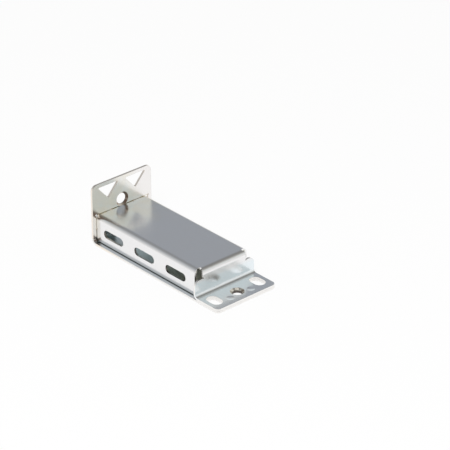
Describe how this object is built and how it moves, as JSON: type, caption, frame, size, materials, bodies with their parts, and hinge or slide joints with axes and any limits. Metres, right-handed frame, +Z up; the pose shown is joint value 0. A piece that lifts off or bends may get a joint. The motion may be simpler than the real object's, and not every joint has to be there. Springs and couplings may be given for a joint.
{
  "type": "rack mount ear bracket",
  "caption": "Folded sheet steel rack bracket: slotted box arm between an upright screw ear and a flat slotted foot.",
  "frame": {"origin": "centre of the bounding box's bottom face, in the plane of the underside", "axes": "+X from the ear to the foot, +Z up from the underside, +Y across the bracket"},
  "size_m": [0.1124, 0.0436, 0.0366],
  "materials": {
    "zinc_plated_steel": "bright zinc plating, semi-gloss, with slightly blurred reflections"
  },
  "bodies": {
    "root": {"base_with_ear": "zinc_plated_steel", "cover": "zinc_plated_steel"}
  },
  "joints": []
}
